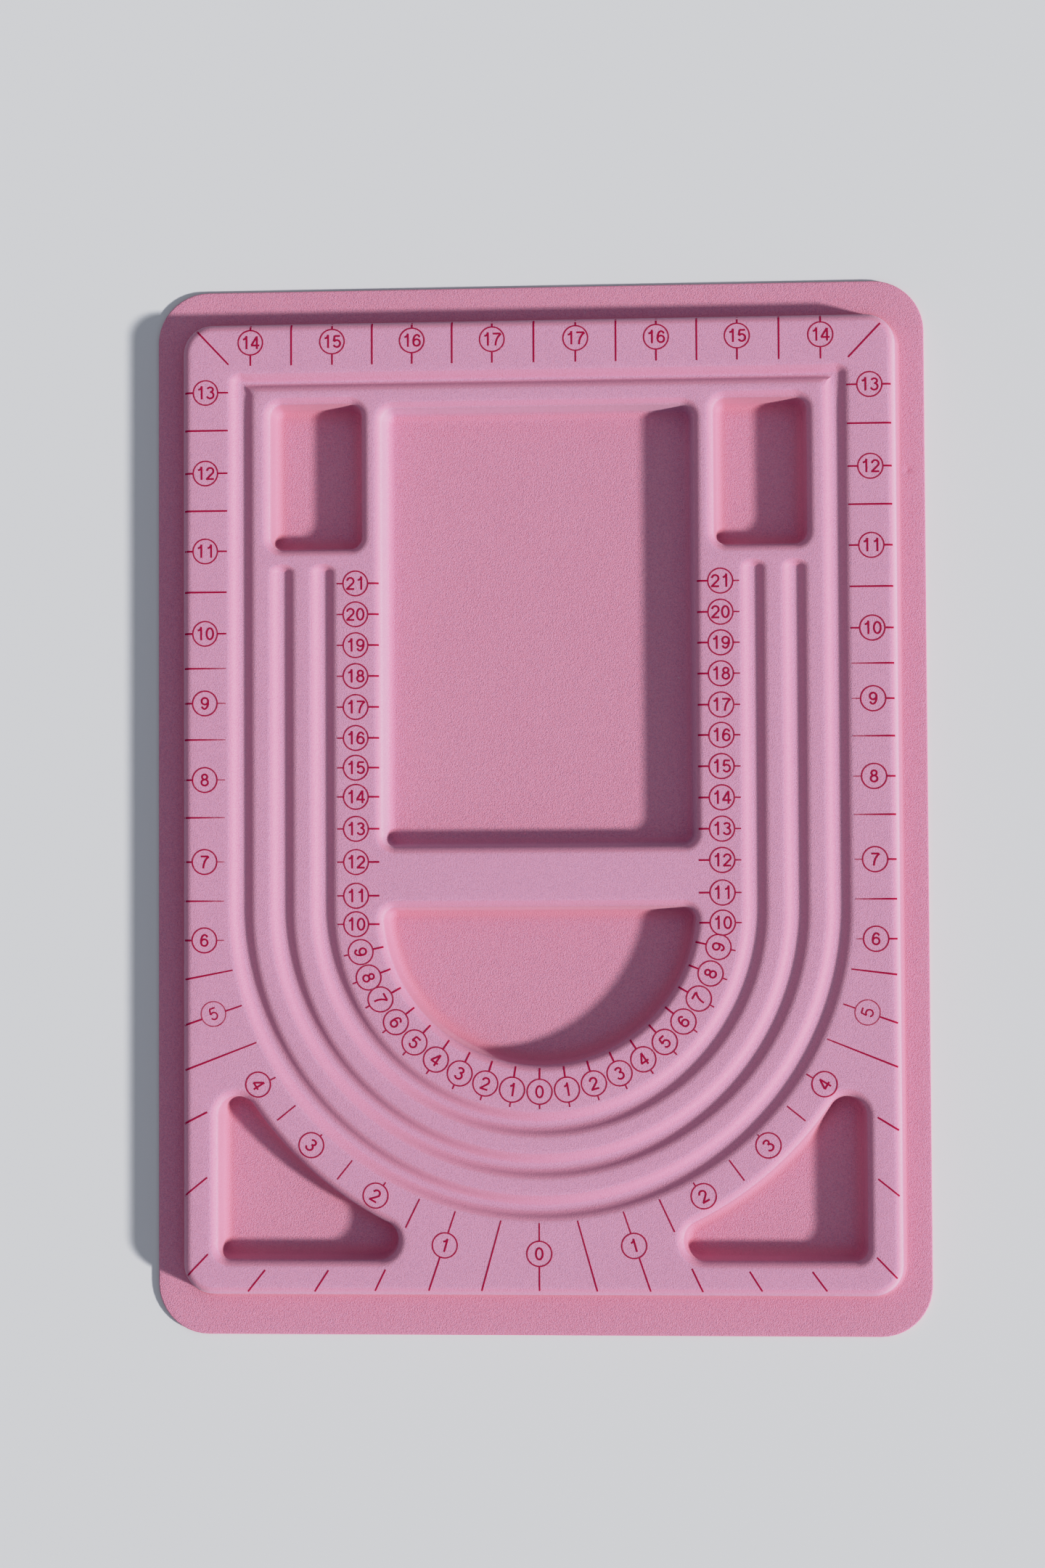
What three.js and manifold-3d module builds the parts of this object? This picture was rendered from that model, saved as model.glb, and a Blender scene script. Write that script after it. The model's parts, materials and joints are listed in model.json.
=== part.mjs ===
// Bead board: one thermoformed styrene sheet with a flocked face.
// The sheet is hollow underneath and stands on its flange and on the floors of its trays.
// X runs across the board, Y runs from the round end to the square end, Z is up from the table.
// Millimetres. The origin is on the table, under the middle of the flange's outline.

import * as THREE from 'three';
import { mergeVertices } from 'three/addons/utils/BufferGeometryUtils.js';
import Module from 'manifold-3d';

const wasm = await Module();
wasm.setup();

// Layers, from the table side up
const SHEET = 0.9; // styrene sheet
const BOND_GAP = 0.2; // adhesive bed under the flock
const PILE = 0.5; // flock fibres
const SKIN = SHEET + BOND_GAP + PILE;

// Deck and flange
const HEIGHT = 12; // table to flocked deck
const DECK_WIDTH = 224.6; // of its flat face, between the lips
const DECK_LENGTH = 307.7;
const DECK_CORNER = 6.5;
const FLANGE_SIDE = 12.7; // lip to flange edge
const FLANGE_TOP = 15.3;
const FLANGE_BOTTOM = 17;
const FLANGE_CORNER = 16.5;

// Walls
const DRAFT = THREE.MathUtils.degToRad(8);
const EDGE_RADIUS = 1.4; // under the sheet, where a wall leaves the deck
const RIM_ROOT = 1.2; // on the flock, where the deck's rim meets the flange
const TRAY_ROOT = 2.6; // on the flock, where a tray's wall meets its floor

// Stringing channels: nested U shapes, the outermost closed by a cross channel at the top
const CHANNEL_COUNT = 3;
const CHANNEL_WIDTH = 10;
const CHANNEL_DROP = 2;
const CHANNEL_RIDGE = 3.3; // flat left between two channels
const CHANNEL_END = 3; // length of the rounded end of an open channel
const SHOULDER_RADIUS = 2; // under the sheet, along a channel's lip
const CROSS_WIDTH = 7.7;
const CROSS_DROP = 1.8;
const CROSS_RISE = 12; // length over which the outer channel rises to the cross channel
const SIDE_BORDER = 11.3; // deck edge to the outer channel
const TOP_BORDER = 12.4;
const BOTTOM_BORDER = 19.7;

// Trays
const TRAY_CORNER = 0.5; // on a tray's floor
const SCALE_STRIP = 11.2; // inner channel to the trays in the middle
const MAIN_TRAY_LAND = 2.4; // cross channel to the main tray
const SIDE_TRAY_LAND = 0.5; // cross channel to a side tray
const SIDE_TRAY_LENGTH = 53.05;
const SIDE_TRAY_RIDGE = 1.4; // outer channel to a side tray
const SIDE_TRAY_WEB = 0.8; // main tray to a side tray
const CHANNEL_END_LAND = 1.55; // side tray to the ends of the open channels
const TRAY_BRIDGE = 13.8; // main tray to the half-round tray
const HALF_TRAY_RISE = 3.1; // centre of the arcs to the half-round tray's straight side
const CORNER_TRAY_BORDER = 8; // outer channel to a corner tray
const CORNER_TRAY_RIM = 5.3; // deck edge to a corner tray
const CORNER_TRAY_TIP = 2.9; // on the floor, at its two narrow ends

// Facets
const CORNER_STEPS = 4;
const TIP_STEPS = 4;
const CORNER_TRAY_STEPS = 6;
const HALF_TRAY_STEPS = 16;
const CHANNEL_STEPS = 24;
const END_STEPS = 4;
const FILLET_STEPS = 2;

const OVERCUT = 1; // how far a cutting solid runs past what it cuts

const FLOCK_COLOUR = 0xce8fa9;
const FLOCK_ROUGHNESS = 1;
const SHEET_COLOUR = 0xc98aa2;
const SHEET_ROUGHNESS = 0.45;

// Shape of a wall between the deck and a floor, on the flock
const steepest = Math.PI / 2 - DRAFT;
const lipRadius = EDGE_RADIUS + SKIN;
function wallRun(rootRadius) {
  const radii = lipRadius + rootRadius;
  const fall = HEIGHT - SKIN - radii * (1 - Math.cos(steepest));
  return radii * Math.sin(steepest) + fall * Math.tan(DRAFT);
}

// Places that follow from the sizes
const flangeLength = DECK_LENGTH + FLANGE_TOP + FLANGE_BOTTOM;
const deckBottom = FLANGE_BOTTOM - flangeLength / 2;
const deckTop = deckBottom + DECK_LENGTH;
const deckSide = DECK_WIDTH / 2;
const outerRadius = deckSide - SIDE_BORDER - CHANNEL_WIDTH / 2;
const channelPitch = CHANNEL_WIDTH + CHANNEL_RIDGE;
const innerRadius = outerRadius - (CHANNEL_COUNT - 1) * channelPitch;
const centreY = deckBottom + BOTTOM_BORDER + CHANNEL_WIDTH / 2 + outerRadius;
const crossY = deckTop - TOP_BORDER - CROSS_WIDTH / 2;
const crossLip = crossY - CROSS_WIDTH / 2;
const mainTraySide = innerRadius - CHANNEL_WIDTH / 2 - SCALE_STRIP;
const halfTrayTop = centreY + HALF_TRAY_RISE;
const sideTrayBottom = crossLip - SIDE_TRAY_LAND - SIDE_TRAY_LENGTH;
const channelEndY = sideTrayBottom - CHANNEL_END_LAND;

function solidFrom(points, triangles) {
  const geometry = new THREE.BufferGeometry().setFromPoints(points);
  geometry.setIndex(triangles);
  const merged = mergeVertices(geometry);
  const index = merged.index.array;
  const kept = [];
  for (let i = 0; i < index.length; i += 3) {
    const [a, b, c] = index.slice(i, i + 3);
    if (a !== b && b !== c && c !== a) kept.push(a, b, c);
  }
  return new wasm.Manifold(new wasm.Mesh({
    numProp: 3,
    vertProperties: merged.attributes.position.array,
    triVerts: new Uint32Array(kept),
  }));
}

// Outlines run counter-clockwise through arcs. A straight line leads from one arc to the next,
// unless the arc joins the next one. turn is -1 on an arc that bulges into the outline.
function arc(x, y, radius, from, to, steps, { turn = 1, joins = false } = {}) {
  return { x, y, radius, from, to, steps, turn, count: joins ? steps : steps + 1 };
}

function roundedRectangle(left, right, bottom, top, radius) {
  const corners = [[right, top], [left, top], [left, bottom], [right, bottom]];
  return corners.map(([x, y], quarter) => {
    const from = quarter * Math.PI / 2;
    const inX = x === right ? x - radius : x + radius;
    const inY = y === top ? y - radius : y + radius;
    return arc(inX, inY, radius, from, from + Math.PI / 2, CORNER_STEPS);
  });
}

function halfRound(radius, flatY, corner) {
  const cornerY = flatY - corner;
  const reach = radius - corner;
  const cornerX = Math.sqrt(reach ** 2 - (cornerY - centreY) ** 2);
  const lean = Math.atan2(cornerY - centreY, cornerX);
  return [
    arc(cornerX, cornerY, corner, lean, Math.PI / 2, CORNER_STEPS),
    arc(-cornerX, cornerY, corner, Math.PI / 2, Math.PI - lean, CORNER_STEPS, { joins: true }),
    arc(0, centreY, radius, Math.PI - lean, 2 * Math.PI + lean, HALF_TRAY_STEPS, { joins: true }),
  ];
}

// Three-sided tray at the right of the round end: two straight sides and one that follows the channels
function cornerOutline(radius, right, bottom, corner, tip) {
  const topX = right - tip;
  const topY = centreY - Math.sqrt((radius + tip) ** 2 - topX ** 2);
  const tipY = bottom + tip;
  const tipX = Math.sqrt((radius + tip) ** 2 - (tipY - centreY) ** 2);
  const topAngle = Math.atan2(topY - centreY, topX);
  const tipAngle = Math.atan2(tipY - centreY, tipX);
  const back = { turn: -1, joins: true };
  return [
    arc(right - corner, bottom + corner, corner, -Math.PI / 2, 0, CORNER_STEPS),
    arc(topX, topY, tip, 0, topAngle + Math.PI, TIP_STEPS, { joins: true }),
    arc(0, centreY, radius, topAngle, tipAngle, CORNER_TRAY_STEPS, back),
    arc(tipX, tipY, tip, tipAngle + Math.PI, 3 * Math.PI / 2, TIP_STEPS),
  ];
}

function ring(outline, inset, z) {
  return outline.flatMap(({ x, y, radius, from, to, steps, turn, count }) => {
    const reach = radius - turn * inset;
    return Array.from({ length: count }, (_, i) => {
      const angle = from + (to - from) * i / steps;
      return new THREE.Vector3(x + reach * Math.cos(angle), y + reach * Math.sin(angle), z);
    });
  });
}

// Closed solid through rings of equal count, lowest first
function loft(rings) {
  const count = rings[0].length;
  const triangles = [];
  for (let low = 0; low < (rings.length - 1) * count; low += count) {
    for (let i = 0; i < count; i += 1) {
      const a = low + i;
      const b = low + (i + 1) % count;
      triangles.push(a, b, b + count, a, b + count, a + count);
    }
  }
  const top = (rings.length - 1) * count;
  for (const [a, b, c] of THREE.ShapeUtils.triangulateShape(rings[0], [])) triangles.push(c, b, a);
  for (const [a, b, c] of THREE.ShapeUtils.triangulateShape(rings.at(-1), [])) {
    triangles.push(top + a, top + b, top + c);
  }
  return solidFrom(rings.flat(), triangles);
}

// A wall from the deck's lip down to a floor, as steps away from the lip and heights.
// Each face lies depth under the flock, so the radii of a lip shrink and those of a root grow.
function wallProfile(depth, rootRadius) {
  const lip = lipRadius - depth;
  const root = rootRadius + depth;
  const run = wallRun(rootRadius);
  const points = [];
  for (let i = 0; i <= FILLET_STEPS; i += 1) {
    const tilt = steepest * i / FILLET_STEPS;
    points.push([lip * Math.sin(tilt), HEIGHT - lipRadius + lip * Math.cos(tilt)]);
  }
  for (let i = FILLET_STEPS; i >= 0; i -= 1) {
    const tilt = steepest * i / FILLET_STEPS;
    points.push([run - root * Math.sin(tilt), SKIN + rootRadius - root * Math.cos(tilt)]);
  }
  return points;
}

// Carries the profile's first facet on past its lip, so that a cutter leaves the deck at a clean edge
function pastLip([lip, next]) {
  const slope = (lip[1] - next[1]) / Math.abs(next[0] - lip[0]);
  return lip[1] + OVERCUT * slope;
}

function trayVoid(outline, depth) {
  const profile = wallProfile(depth, TRAY_ROOT);
  const rings = profile.map(([inset, z]) => ring(outline, inset, z)).reverse();
  return [...rings, ring(outline, -OVERCUT, pastLip(profile))];
}

function mirrored(rings) {
  return rings.map((points) => points.map(({ x, y, z }) => new THREE.Vector3(-x, y, z)).reverse());
}

// Half of a channel's section from its centre line to its lip, then past the lip and back over the centre
function halfSection(width, drop, depth) {
  const slope = 2 * Math.atan(2 * drop / width);
  const radii = width / 2 / Math.sin(slope);
  const shoulder = SHOULDER_RADIUS + SKIN;
  const trough = radii - shoulder;
  const points = [];
  for (let i = 0; i <= FILLET_STEPS; i += 1) {
    const tilt = slope * i / FILLET_STEPS;
    const radius = trough + depth;
    points.push([radius * Math.sin(tilt), HEIGHT - drop + trough - radius * Math.cos(tilt)]);
  }
  for (let i = FILLET_STEPS - 1; i >= 0; i -= 1) {
    const tilt = slope * i / FILLET_STEPS;
    const radius = shoulder - depth;
    points.push([width / 2 - radius * Math.sin(tilt), HEIGHT - shoulder + radius * Math.cos(tilt)]);
  }
  const [next, lip] = points.slice(-2);
  points.push([lip[0] + OVERCUT, pastLip([lip, next])], [0, HEIGHT + OVERCUT]);
  return points;
}

// A station is half a section, stood on the centre line and stretched sideways along a direction
function station(x, y, sideX, sideY, section) {
  return section.map(([out, z]) => new THREE.Vector3(x + out * sideX, y + out * sideY, z));
}

// Faces between neighbouring stations, with the channel's wall on the right of the way they run
function channelVoid(loops) {
  const points = [];
  const triangles = [];
  for (const stations of loops) {
    const count = stations[0].length;
    const start = points.length;
    points.push(...stations.flat());
    stations.forEach((_, i) => {
      const here = start + i * count;
      const next = start + ((i + 1) % stations.length) * count;
      for (let j = 0; j + 1 < count; j += 1) {
        triangles.push(here + j, next + j, next + j + 1, here + j, next + j + 1, here + j + 1);
      }
    });
  }
  return solidFrom(points, triangles);
}

function bend(radius, section, side) {
  const stations = Array.from({ length: CHANNEL_STEPS + 1 }, (_, i) => {
    const angle = Math.PI * (1 + i / CHANNEL_STEPS);
    const [x, y] = [Math.cos(angle), Math.sin(angle)];
    return station(radius * x, centreY + radius * y, side * x, side * y, section);
  });
  return side > 0 ? stations : stations.reverse();
}

function openChannel(radius, depth) {
  const section = halfSection(CHANNEL_WIDTH, CHANNEL_DROP, depth);
  const endY = channelEndY - CHANNEL_END;
  const stretch = CHANNEL_END / (CHANNEL_WIDTH / 2);
  const roundEnd = (x) => Array.from({ length: END_STEPS + 1 }, (_, i) => {
    const angle = Math.PI * i / END_STEPS;
    return station(x, endY, Math.cos(angle), stretch * Math.sin(angle), section);
  });
  return channelVoid([[
    ...bend(radius, section, 1),
    ...roundEnd(radius),
    ...bend(radius, section, -1),
    ...roundEnd(-radius),
  ]]);
}

function closedChannel(radius, depth) {
  const section = halfSection(CHANNEL_WIDTH, CHANNEL_DROP, depth);
  const shallow = halfSection(CHANNEL_WIDTH, CROSS_DROP, depth);
  const cross = halfSection(CROSS_WIDTH, CROSS_DROP, depth);
  const riseY = crossY - CROSS_RISE;
  const mitre = (x, sideX, sideY) => shallow.map(([out, z], j) => {
    const [up, crossZ] = cross[j];
    return new THREE.Vector3(x + out * sideX, crossY + up * sideY, (z + crossZ) / 2);
  });
  const loops = [1, -1].map((side) => [
    mitre(-side * radius, -1, side),
    station(-side * radius, riseY, -1, 0, section),
    ...bend(radius, section, side),
    station(side * radius, riseY, 1, 0, section),
    mitre(side * radius, 1, side),
  ]);
  return channelVoid(loops);
}

// Outlines at the deck, where a tray's corners have opened out by the run of its walls
const trayRun = wallRun(TRAY_ROOT);
const trayCorner = TRAY_CORNER + trayRun;
const mainTray = roundedRectangle(
  -mainTraySide, mainTraySide, halfTrayTop + TRAY_BRIDGE, crossLip - MAIN_TRAY_LAND, trayCorner);
const sideTray = roundedRectangle(
  mainTraySide + SIDE_TRAY_WEB, outerRadius - CHANNEL_WIDTH / 2 - SIDE_TRAY_RIDGE,
  sideTrayBottom, crossLip - SIDE_TRAY_LAND, trayCorner);
const halfTray = halfRound(mainTraySide, halfTrayTop, trayCorner);
const cornerTray = cornerOutline(
  outerRadius + CHANNEL_WIDTH / 2 + CORNER_TRAY_BORDER, deckSide - CORNER_TRAY_RIM,
  deckBottom + CORNER_TRAY_RIM, trayCorner, CORNER_TRAY_TIP + trayRun);

// Solid under the face that lies depth beneath the flock, with its flange grown by margin
function under(depth, margin) {
  const deck = roundedRectangle(-deckSide, deckSide, deckBottom, deckTop, DECK_CORNER);
  const flangeSide = deckSide + FLANGE_SIDE;
  const flange = roundedRectangle(
    -flangeSide, flangeSide, deckBottom - FLANGE_BOTTOM, deckTop + FLANGE_TOP, FLANGE_CORNER);
  const walls = wallProfile(depth, RIM_ROOT).map(([out, z]) => ring(deck, -out, z)).reverse();
  const blank = loft([
    ring(flange, -margin, -OVERCUT - margin),
    ring(flange, -margin, SKIN - depth),
    ...walls,
  ]);
  const middle = [mainTray, halfTray].map((outline) => trayVoid(outline, depth));
  const pairs = [sideTray, cornerTray].map((outline) => trayVoid(outline, depth));
  const trays = [...middle, ...pairs, ...pairs.map(mirrored)].map(loft);
  const channels = [closedChannel(outerRadius, depth)];
  for (let i = 1; i < CHANNEL_COUNT; i += 1) {
    channels.push(openChannel(outerRadius - i * channelPitch, depth));
  }
  return [...trays, ...channels].reduce((solid, cut) => solid.subtract(cut), blank);
}

// The layer of the board between two depths under the flock
function layer(name, upper, lower, colour, roughness) {
  const solid = under(upper, 0).subtract(under(lower, OVERCUT));
  const { vertProperties, triVerts } = solid.getMesh();
  const geometry = new THREE.BufferGeometry();
  geometry.setAttribute('position', new THREE.BufferAttribute(vertProperties, 3));
  geometry.setIndex(new THREE.BufferAttribute(triVerts, 1));
  geometry.computeVertexNormals();
  const mesh = new THREE.Mesh(geometry, new THREE.MeshStandardMaterial({
    color: colour, roughness, metalness: 0,
  }));
  mesh.name = name;
  return mesh;
}

const board = new THREE.Group();
board.add(
  layer('formed_shell', PILE + BOND_GAP, SKIN, SHEET_COLOUR, SHEET_ROUGHNESS),
  layer('flock_layer', 0, PILE, FLOCK_COLOUR, FLOCK_ROUGHNESS),
);

export default board;
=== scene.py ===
# %% [markdown]
# # Bead board
# A bead board is one plastic sheet, heated and drawn over a mould. Its upper face is flocked,
# which means that short fibres stand in glue all over it, and scales are printed on the flock.
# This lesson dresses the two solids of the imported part: the formed sheet and the flock on it.
# Everything is in metres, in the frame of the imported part: X across, Y up the board, Z off the table.

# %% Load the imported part
import json
import math
from functools import partial

import bmesh
import bpy
import numpy as np
from mathutils import Matrix, Vector
from mathutils.geometry import delaunay_2d_cdt
from mathutils.kdtree import KDTree

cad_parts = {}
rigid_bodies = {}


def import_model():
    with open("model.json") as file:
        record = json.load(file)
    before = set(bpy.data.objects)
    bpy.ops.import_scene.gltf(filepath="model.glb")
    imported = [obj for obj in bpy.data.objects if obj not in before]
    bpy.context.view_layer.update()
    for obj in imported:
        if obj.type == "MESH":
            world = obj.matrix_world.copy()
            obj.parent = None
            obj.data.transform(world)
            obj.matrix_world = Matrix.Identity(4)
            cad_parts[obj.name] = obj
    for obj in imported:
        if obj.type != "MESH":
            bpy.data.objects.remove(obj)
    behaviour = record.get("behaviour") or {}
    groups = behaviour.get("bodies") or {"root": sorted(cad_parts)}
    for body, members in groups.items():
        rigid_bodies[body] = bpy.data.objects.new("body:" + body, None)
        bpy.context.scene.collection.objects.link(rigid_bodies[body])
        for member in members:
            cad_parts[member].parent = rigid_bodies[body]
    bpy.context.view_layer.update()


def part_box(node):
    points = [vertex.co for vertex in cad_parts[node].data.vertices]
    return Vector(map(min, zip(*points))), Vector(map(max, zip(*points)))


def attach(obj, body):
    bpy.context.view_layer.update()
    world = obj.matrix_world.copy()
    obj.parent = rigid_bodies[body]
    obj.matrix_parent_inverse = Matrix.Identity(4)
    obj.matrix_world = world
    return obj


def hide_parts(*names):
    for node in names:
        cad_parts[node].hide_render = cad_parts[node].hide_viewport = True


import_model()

MM = 0.001

# %% [markdown]
# ## The sizes
# The sizes are those of the solids, in millimetres. The outline and the height come from the
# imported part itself, so a change there is followed here.

# %% Sizes of the board
_, flock_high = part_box("flock_layer")
FLANGE_SIDE = flock_high[0] / MM
FLANGE_TOP = flock_high[1] / MM
HEIGHT = flock_high[2] / MM
FLANGE_CORNER = 16.5
DECK_SIDE, DECK_BOTTOM, DECK_TOP, DECK_CORNER = 112.3, -153.0, 154.7, 6.5
SKIN = 1.6  # sheet, glue and flock together
FLOCK_BED = 0.69  # flock and the glue under it
SHEET_FACE = 0.7  # depth of the plastic's upper face under the flock

WALL_SLOPE = math.radians(82)
LIP_RADIUS, RIM_ROOT, TRAY_ROOT = 3.0, 1.2, 2.6
WALL_TRAVEL = HEIGHT - SKIN


def wall_fall(root):
    return WALL_TRAVEL - (LIP_RADIUS + root) * (1 - math.cos(WALL_SLOPE))


def wall_run(root):
    return (LIP_RADIUS + root) * math.sin(WALL_SLOPE) + wall_fall(root) / math.tan(WALL_SLOPE)


EDGE_ROLL, EDGE_SLOPE = 0.55, math.radians(55)  # the flock rounds off at the flange's cut edge

CENTRE = np.array([0.0, -32.3])  # of every arc at the round end
CHANNEL_RADII = (96.0, 82.7, 69.4)
CHANNEL_WIDTH, CHANNEL_DROP, SHOULDER = 10.0, 2.0, 3.6
CROSS_Y, CROSS_WIDTH, CROSS_DROP, CROSS_RISE, CROSS_CORNER = 138.45, 7.7, 1.8, 12.0, 2.5
CHANNEL_END_Y, CHANNEL_END = 79.5, 3.0
TRAY_CORNER = 0.5 + wall_run(TRAY_ROOT)
TRAY_TIP = 2.9 + wall_run(TRAY_ROOT)
HALF_TRAY_RADIUS, HALF_TRAY_TOP = 53.2, -29.2
CORNER_ARC, CORNER_SIDE, CORNER_BOTTOM = 109.0, 107.0, -147.7
print(f"walls fall {WALL_TRAVEL:.2f} mm, a tray's over a run of {wall_run(TRAY_ROOT):.2f} mm")

# %% [markdown]
# ## Outlines
# Every edge on the board starts as an outline on the deck: the rim, the trays and the channels.
# An outline is a list of arcs with straight lines between them. Sampling it gives points, and at
# each point the direction into the outline, so that one rule can later draw all the walls down.

# %% Outlines of the trays, the deck and the flange
QUARTER = math.pi / 2


def arc(x, y, radius, start, end, turn=1, joins=False):
    return dict(centre=np.array([x, y]), radius=radius, start=start, end=end, turn=turn, joins=joins)


def rounded_rectangle(left, right, bottom, top, radius):
    corners = [(right, top, -1, -1), (left, top, 1, -1), (left, bottom, 1, 1), (right, bottom, -1, 1)]
    return [arc(x + sx * radius, y + sy * radius, radius, i * QUARTER, (i + 1) * QUARTER)
            for i, (x, y, sx, sy) in enumerate(corners)]


def half_round():
    corner_y = HALF_TRAY_TOP - TRAY_CORNER
    corner_x = math.sqrt((HALF_TRAY_RADIUS - TRAY_CORNER) ** 2 - (corner_y - CENTRE[1]) ** 2)
    lean = math.atan2(corner_y - CENTRE[1], corner_x)
    return [
        arc(corner_x, corner_y, TRAY_CORNER, lean, QUARTER),
        arc(-corner_x, corner_y, TRAY_CORNER, QUARTER, math.pi - lean, joins=True),
        arc(*CENTRE, HALF_TRAY_RADIUS, math.pi - lean, 2 * math.pi + lean, joins=True),
    ]


def corner_tray():
    reach = CORNER_ARC + TRAY_TIP
    top_x = CORNER_SIDE - TRAY_TIP
    top_y = CENTRE[1] - math.sqrt(reach ** 2 - top_x ** 2)
    tip_y = CORNER_BOTTOM + TRAY_TIP
    tip_x = math.sqrt(reach ** 2 - (tip_y - CENTRE[1]) ** 2)
    top_angle = math.atan2(top_y - CENTRE[1], top_x)
    tip_angle = math.atan2(tip_y - CENTRE[1], tip_x)
    return [
        arc(CORNER_SIDE - TRAY_CORNER, CORNER_BOTTOM + TRAY_CORNER, TRAY_CORNER, -QUARTER, 0),
        arc(top_x, top_y, TRAY_TIP, 0, top_angle + math.pi, joins=True),
        arc(*CENTRE, CORNER_ARC, top_angle, tip_angle, turn=-1, joins=True),
        arc(tip_x, tip_y, TRAY_TIP, tip_angle + math.pi, 3 * QUARTER),
    ]


def sample(outline, spacing, turn_step):
    points, inward = [], []
    for i, a in enumerate(outline):
        sweep = a["end"] - a["start"]
        count = math.ceil(max(abs(sweep) / turn_step, abs(sweep) * a["radius"] / spacing))
        angles = a["start"] + sweep * np.arange(count if a["joins"] else count + 1) / count
        out = np.stack([np.cos(angles), np.sin(angles)], 1)
        points += list(a["centre"] + a["radius"] * out)
        inward += list(-a["turn"] * out)
        if a["joins"]:
            continue
        following = outline[(i + 1) % len(outline)]
        first = following["start"]
        start = points[-1]
        end = following["centre"] + following["radius"] * np.array([math.cos(first), math.sin(first)])
        pieces = max(1, round(np.linalg.norm(end - start) / spacing))
        for k in range(1, pieces):
            points.append(start + (end - start) * k / pieces)
            inward.append(inward[-1])
    return np.array(points), np.array(inward)


def mirrored(points, inward):
    return points[::-1] * [-1, 1], inward[::-1] * [-1, 1]


trays_right = [rounded_rectangle(54.0, 89.6, 81.05, 134.1, TRAY_CORNER), corner_tray()]
trays_middle = [rounded_rectangle(-53.2, 53.2, -15.4, 132.2, TRAY_CORNER), half_round()]
deck_outline = rounded_rectangle(-DECK_SIDE, DECK_SIDE, DECK_BOTTOM, DECK_TOP, DECK_CORNER)
flange_outline = rounded_rectangle(-FLANGE_SIDE, FLANGE_SIDE, -FLANGE_TOP, FLANGE_TOP, FLANGE_CORNER)
print("outlines:", 2 * len(trays_right) + len(trays_middle), "trays, the deck and the flange")

# %% [markdown]
# ## Channels
# A strand of beads lies in a channel while it is laid out. Each half of a channel runs from its lip
# to its centre line, so a channel is a chain of pairs: a lip point and the point on the centre line
# that belongs to it. The outer channel is closed at the top by a shallower cross channel with
# rounded corners, and the other two end in a rounded stop.

# %% Chains of lips and centre lines
HALF_WIDTH, HALF_CROSS = CHANNEL_WIDTH / 2, CROSS_WIDTH / 2


def bend(radius, spacing, side):
    count = math.ceil(math.pi * radius / spacing)
    angles = math.pi * (1 + np.arange(count + 1) / count)
    rows = []
    for out in np.stack([np.cos(angles), np.sin(angles)], 1):
        rows.append((CENTRE + (radius + side * HALF_WIDTH) * out, CENTRE + radius * out,
                     CHANNEL_WIDTH, CHANNEL_DROP))
    return rows if side > 0 else rows[::-1]


def leg(x, low, high, spacing, side):
    rows = []
    for y in np.linspace(low, high, max(1, round((high - low) / spacing)) + 1):
        share = min(max((y - CROSS_Y + CROSS_RISE) / CROSS_RISE, 0), 1)
        drop = CHANNEL_DROP + (CROSS_DROP - CHANNEL_DROP) * share * share * (3 - 2 * share)
        rows.append((np.array([x + side * HALF_WIDTH, y]), np.array([x, y]), CHANNEL_WIDTH, drop))
    return rows


def round_stop(x, y, steps):
    rows = []
    for angle in math.pi * np.arange(1, steps) / steps:
        lip = np.array([x + HALF_WIDTH * math.cos(angle), y + CHANNEL_END * math.sin(angle)])
        rows.append((lip, np.array([x, y]), CHANNEL_WIDTH, CHANNEL_DROP))
    return rows


def open_channel(radius, spacing, steps):
    low, high = CENTRE[1], CHANNEL_END_Y - CHANNEL_END
    return [
        bend(radius, spacing, 1)[:-1] + leg(radius, low, high, spacing, 1)
        + round_stop(radius, high, steps) + leg(radius, low, high, spacing, -1)[:0:-1]
        + bend(radius, spacing, -1)[:-1] + leg(-radius, low, high, spacing, 1)
        + round_stop(-radius, high, steps) + leg(-radius, low, high, spacing, -1)[:0:-1]
    ]


def cross_corner_lip(side, share):
    """Point on the island's rounded corner. share is 0 on the leg, 1 on the cross channel."""
    angle = share * QUARTER
    pivot = np.array([CHANNEL_RADII[0] - HALF_WIDTH, CROSS_Y - HALF_CROSS]) - CROSS_CORNER
    lip = pivot + CROSS_CORNER * np.array([math.cos(angle), math.sin(angle)])
    return lip * [side, 1]


def inner_row(row):
    lip, middle, width, drop = row
    side = math.copysign(1, middle[0])
    reach = np.array([HALF_WIDTH, HALF_CROSS]) + CROSS_CORNER
    past = (np.array([abs(middle[0]), middle[1]]) - [CHANNEL_RADII[0], CROSS_Y] + reach) / reach
    if past.min() <= 0:
        return row
    share = 0.5 + (past[1] - 1) / 2 if past[1] < 1 else 0.5 + (1 - past[0]) / 2
    return cross_corner_lip(side, share), middle, width, drop


def closed_channel(spacing, steps):
    radius, low = CHANNEL_RADII[0], CENTRE[1]
    count = round(2 * radius / spacing)
    outer, inner = bend(radius, spacing, 1)[:-1], bend(radius, spacing, -1)[::-1][:-1]
    outer += leg(radius, low, CROSS_Y, spacing, 1)[:-1]
    inner += leg(radius, low, CROSS_Y, spacing, -1)[:-1]
    for x in np.linspace(radius, -radius, count + 1):
        middle = np.array([x, CROSS_Y])
        inner.append((middle - [0, HALF_CROSS], middle, CROSS_WIDTH, CROSS_DROP))
        if abs(x) < radius - spacing / 2:
            outer.append((middle + [0, HALF_CROSS], middle, CROSS_WIDTH, CROSS_DROP))
            continue
        fan = np.linspace(0, QUARTER, steps + 1)
        for angle in fan if x > 0 else fan[::-1]:
            reach = [math.copysign(HALF_WIDTH, x) * math.cos(angle), HALF_CROSS * math.sin(angle)]
            outer.append((middle + reach, middle, CHANNEL_WIDTH, CROSS_DROP))
    outer += leg(-radius, low, CROSS_Y, spacing, -1)[-2:0:-1]
    inner += leg(-radius, low, CROSS_Y, spacing, 1)[-2:0:-1]
    return [outer, [inner_row(row) for row in inner]]


print("channels:", len(CHANNEL_RADII), "nested, the outer one closed")

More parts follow.
